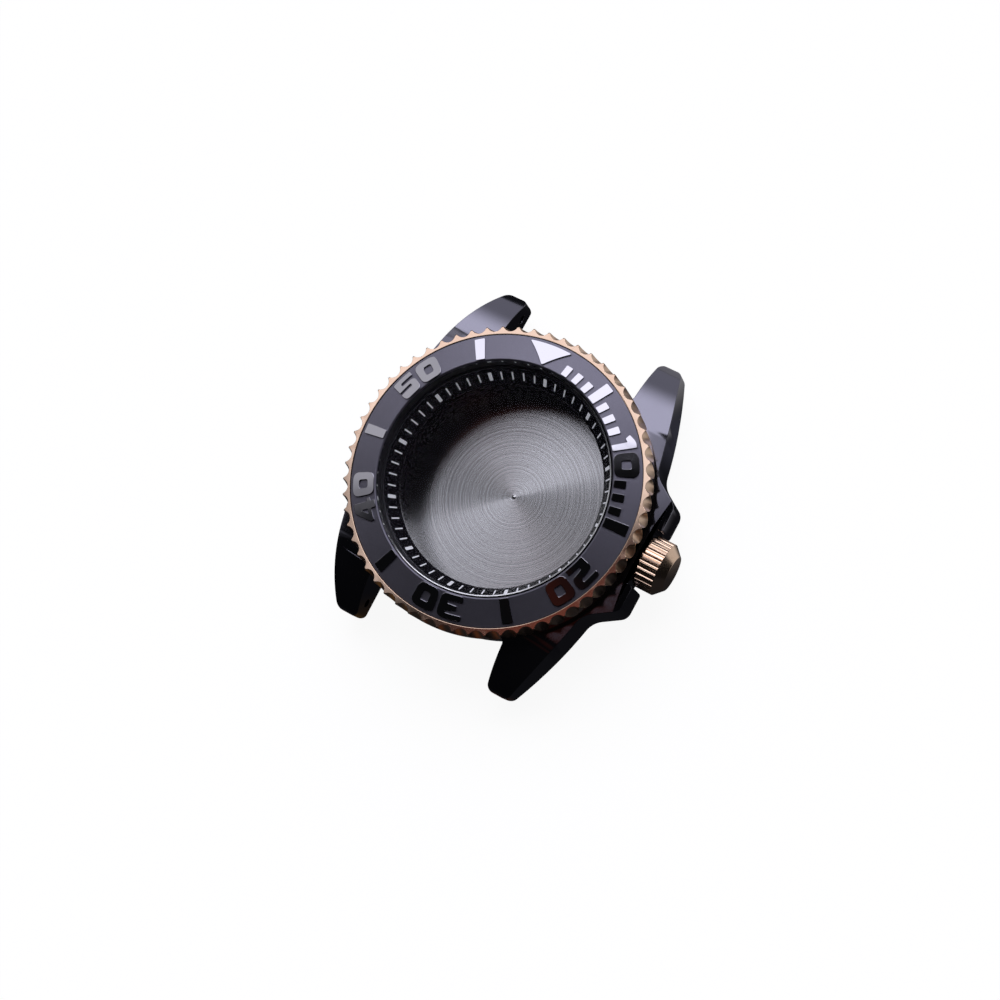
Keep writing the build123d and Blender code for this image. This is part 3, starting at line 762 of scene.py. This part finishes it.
def make_minute_ring():
    """Sloping ring under the crystal, and its sixty marks."""
    outline = [
        (CHAPTER_INNER, CHAPTER_BOTTOM),
        (CHAPTER_OUTER, CHAPTER_BOTTOM),
        (CHAPTER_OUTER, CHAPTER_TOP),
        (CHAPTER_RIM, CHAPTER_TOP),
        (CHAPTER_INNER, CHAPTER_FOOT),
    ]
    ring = write_mesh(lathe(outline, steps=256), "minute_ring")
    soften(ring, width=0.03)
    dress(ring, ring_black, "case")
    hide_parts("chapter_ring")

    shape = bmesh.new()
    for minute in range(60):
        width = CHAPTER_FIVE_WIDTH if minute % 5 == 0 else CHAPTER_MARK_WIDTH
        loops = bar(width, CHAPTER_MARK_HEIGHT, CHAPTER_MARK_CORNER)
        sizes = (CHAPTER_MARK_FOOT, CHAPTER_MARK_RISE, CHAPTER_MARK_EDGE)
        add_mark(shape, loops, 0.0, minute, chapter_height, *sizes)
    turn_about_z(shape, CHAPTER_REST_TURN)
    marks = write_mesh(shape, "minute_marks")
    crisp(marks)
    dress(marks, mark_paint, "case")


# Crown

def make_crown():
    """Fluted crown with a sloping end, bored for its tube."""
    outline = [
        (CROWN_BORE, CROWN_START),
        (CROWN_RADIUS - CROWN_INNER_CHAMFER, CROWN_START),
        (CROWN_RADIUS, CROWN_START + CROWN_INNER_CHAMFER),
        (CROWN_RADIUS, CROWN_TAPER_START),
        (CROWN_END_RADIUS, CROWN_END),
        (0, CROWN_END),
        (0, CROWN_CHAMBER_END),
        (CROWN_CHAMBER, CROWN_CHAMBER_END),
        (CROWN_CHAMBER, CROWN_CHAMBER_START),
        (CROWN_BORE, CROWN_CHAMBER_START),
    ]
    shape = lathe(outline, steps=260)
    lay_on_crown_axis(shape)
    piece = write_mesh(shape, "crown_knob")
    tools = bmesh.new()
    reach = 4.0
    for index in range(FLUTE_COUNT):
        made = bmesh.ops.create_cone(
            tools, cap_ends=True, segments=24, radius1=FLUTE_RADIUS, radius2=FLUTE_RADIUS, depth=reach
        )
        place = Matrix.Rotation(math.tau / FLUTE_COUNT * index, 4, "Z") @ Matrix.Translation(
            (CROWN_RADIUS + FLUTE_OUTSET, 0, CROWN_TAPER_START - reach / 2)
        )
        bmesh.ops.transform(tools, matrix=place, verts=made["verts"])
    lay_on_crown_axis(tools)
    carve(piece, tools)
    soften(piece, width=0.04)
    dress(piece, crown_gold, "crown")
    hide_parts("crown_cap")


make_case_middle()
make_bezel()
make_insert()
make_insert_marks()
make_crystal()
make_minute_ring()
make_crown()

# Parts that keep the CAD shape
node_finishes = {
    "case_back": black,
    "case_back_gasket": rubber,
    "crystal_gasket": nylon,
    "insert_adhesive_ring": tape,
    "bezel_retaining_wire": spring_steel,
    "click_spring": spring_steel,
    "crown_tube": crown_steel,
    "tube_o_ring": rubber,
    "crown_gasket": rubber,
    "crown_retainer": crown_steel,
    "crown_post": crown_steel,
    "crown_spring": crown_steel,
}
for node_name, node_material in node_finishes.items():
    nodes[node_name].data.materials.clear()
    nodes[node_name].data.materials.append(node_material)


def finish_case_back():
    """Bare turned steel on the case back's inner face, black enamel on its wall, and coating outside."""
    mesh = nodes["case_back"].data
    mesh.materials.append(back_steel)
    mesh.materials.append(ring_black)
    for face in mesh.polygons:
        middle = face.center / MM
        inside = math.hypot(middle.x, middle.y) < BACK_INNER_RADIUS + BACK_WALL_REACH
        if inside and middle.z > BACK_PLATE_MIDDLE:
            face.material_index = 1 if middle.z < BACK_FLOOR_LIMIT else 2


finish_case_back()


# Studio

def make_floor():
    """White floor with a faint shadow. The case mirrors it dark, pale only past the crown's upper side.

    The patches are faint coloured spots that only mirrors see: a place and a reach in millimetres.
    """
    shape = bmesh.new()
    bmesh.ops.create_grid(shape, x_segments=1, y_segments=1, size=1500.0)
    floor = write_mesh(shape, "studio_floor")
    made = bpy.data.materials.new("studio_white")
    made.use_nodes = True
    tree = made.node_tree
    tree.nodes.remove(tree.nodes["Principled BSDF"])
    path = add_node(tree, "ShaderNodeLightPath")
    seen = maths(tree, "MAXIMUM", path.outputs["Is Camera Ray"], path.outputs["Is Transmission Ray"])
    place = add_node(tree, "ShaderNodeTexCoord").outputs["Object"]
    apart = add_node(tree, "ShaderNodeVectorMath", {0: place}, operation="LENGTH").outputs["Value"]
    outward = add_node(tree, "ShaderNodeVectorMath", {0: place}, operation="NORMALIZE").outputs[0]
    far_enough = ramp(tree, apart, 0.0, 0.5, 24 * MM, 31 * MM)
    crown_side = ramp(tree, along(tree, outward, 0.57, 0.82), 0.0, 1.0, 0.55, 0.75)
    pale = maths(tree, "MULTIPLY", far_enough, crown_side)
    mirror_color = blend_colors(tree, pale, (0.012, 0.012, 0.014), (1.0, 0.98, 1.0))
    patches = (
        ((10, -29), 7, (0.08, 0.028, 0.01)),
        ((-13, -27), 9, (0.08, 0.045, 0.015)),
        ((16, 17), 6, (0.06, 0.06, 0.08)),
    )
    for (x, y), reach, color in patches:
        mask = ramp(tree, away(tree, place, x * MM, y * MM), 1.0, 0.0, 0.2 * reach * MM, reach * MM)
        layer = add_node(tree, "ShaderNodeMix", {0: mask}, data_type="RGBA")
        tree.links.new(mirror_color, layer.inputs[6])
        layer.inputs[7].default_value = (*color, 1.0)
        mirror_color = layer.outputs[2]
    glow_color = add_node(tree, "ShaderNodeMix", {0: seen}, data_type="RGBA")
    tree.links.new(mirror_color, glow_color.inputs[6])
    glow_color.inputs[7].default_value = (1.0, 1.0, 1.0, 1.0)
    whiteness = 0.93
    glow = maths(tree, "MULTIPLY_ADD", seen, whiteness, path.outputs["Is Glossy Ray"])
    shade = blend_colors(tree, seen, (0.006, 0.006, 0.007), (0.2, 0.2, 0.2))
    lit = add_node(tree, "ShaderNodeBsdfDiffuse", {"Color": shade})
    own = add_node(tree, "ShaderNodeEmission", {"Color": glow_color.outputs[2], "Strength": glow})
    both = add_node(tree, "ShaderNodeAddShader", {0: lit.outputs[0], 1: own.outputs[0]})
    tree.links.new(both.outputs[0], tree.nodes["Material Output"].inputs["Surface"])
    floor.data.materials.append(made)


def make_light():
    """A large soft light past 10 o'clock with a straight edge, dark surroundings, and white for the camera.

    Directions are named by their tilt from straight up, in degrees, laid out flat as x and y.
    """
    world = bpy.data.worlds.new("studio_light")
    bpy.context.scene.world = world
    world.use_nodes = True
    tree = world.node_tree
    tree.nodes.clear()
    aim = add_node(tree, "ShaderNodeTexCoord").outputs["Generated"]
    x, y, z = add_node(tree, "ShaderNodeSeparateXYZ", {0: aim}).outputs
    tilt = maths(tree, "MULTIPLY", maths(tree, "ARCCOSINE", z), 180 / math.pi)
    flat = add_node(tree, "ShaderNodeCombineXYZ", {"X": x, "Y": y}).outputs[0]
    outward = add_node(tree, "ShaderNodeVectorMath", {0: flat}, operation="NORMALIZE").outputs[0]
    values = {0: outward, "Scale": tilt}
    spot = add_node(tree, "ShaderNodeVectorMath", values, operation="SCALE").outputs[0]

    def source(color, strength):
        """Light of one colour whose strength changes over the sky."""
        values = {"Color": (*color, 1.0), "Strength": strength}
        return add_node(tree, "ShaderNodeBackground", values).outputs[0]

    towards = along(tree, spot, -0.69, 0.72)
    hard_edge = ramp(tree, towards, 0.0, 0.97, 13.2, 15.2)
    faint_edge = ramp(tree, towards, 0.0, 0.03, 7.0, 13.0)
    strength = maths(tree, "ADD", hard_edge, faint_edge)
    stronger_to_12 = ramp(tree, along(tree, spot, 0.0, 1.0), 0.97, 2.05, 17.0, 24.0)
    weaker_when_low = ramp(tree, tilt, 1.0, 0.25, 44.0, 70.0)
    left_end = ramp(tree, along(tree, spot, 0.8, 0.6), 0.03, 1.0, -17.8, -16.1)
    right_end = ramp(tree, along(tree, spot, 0.72, 0.69), 1.0, 0.0, 50.0, 75.0)
    for part in (stronger_to_12, weaker_when_low, left_end, right_end):
        strength = maths(tree, "MULTIPLY", strength, part)
    red_glow = ramp(tree, away(tree, spot, 6.5, -14.5), 0.04, 0.0, 1.0, 10.5)
    brown_glow = ramp(tree, away(tree, spot, -14.0, 1.2), 0.09, 0.0, 1.0, 5.5)
    side_glow = ramp(tree, away(tree, spot, -54.0, 9.0), 0.72, 0.0, 14.0, 28.0)
    lit = source((0.95, 0.94, 1.06), strength)
    warm = source((1.0, 0.16, 0.07), maths(tree, "ADD", red_glow, brown_glow))
    dim_room = source((0.9, 0.92, 1.0), 0.006)
    side = source((0.95, 0.94, 1.0), side_glow)
    for more in (warm, dim_room, side):
        lit = add_node(tree, "ShaderNodeAddShader", {0: lit, 1: more}).outputs[0]
    path = add_node(tree, "ShaderNodeLightPath")
    values = {0: path.outputs["Is Camera Ray"], 1: lit, 2: source((1.0, 1.0, 1.0), 1.0)}
    seen = add_node(tree, "ShaderNodeMixShader", values)
    leave = add_node(tree, "ShaderNodeOutputWorld", {"Surface": seen.outputs[0]})
    leave.is_active_output = True


def make_camera():
    """The photograph's view: its place, its direction and its roll come from a lens fit."""
    lens = bpy.data.cameras.new("photo_camera")
    lens.sensor_width = CAMERA_SENSOR
    lens.lens = CAMERA_LENS
    lens.clip_start = 0.01
    lens.clip_end = 10.0
    camera = bpy.data.objects.new("photo_camera", lens)
    bpy.context.scene.collection.objects.link(camera)
    turn = Matrix((CAMERA_RIGHT, CAMERA_UP, CAMERA_BACK)).transposed().to_4x4()
    camera.matrix_world = Matrix.Translation(CAMERA_PLACE) @ turn
    bpy.context.scene.camera = camera


make_floor()
make_light()
make_camera()
bpy.context.scene.view_settings.view_transform = "Standard"
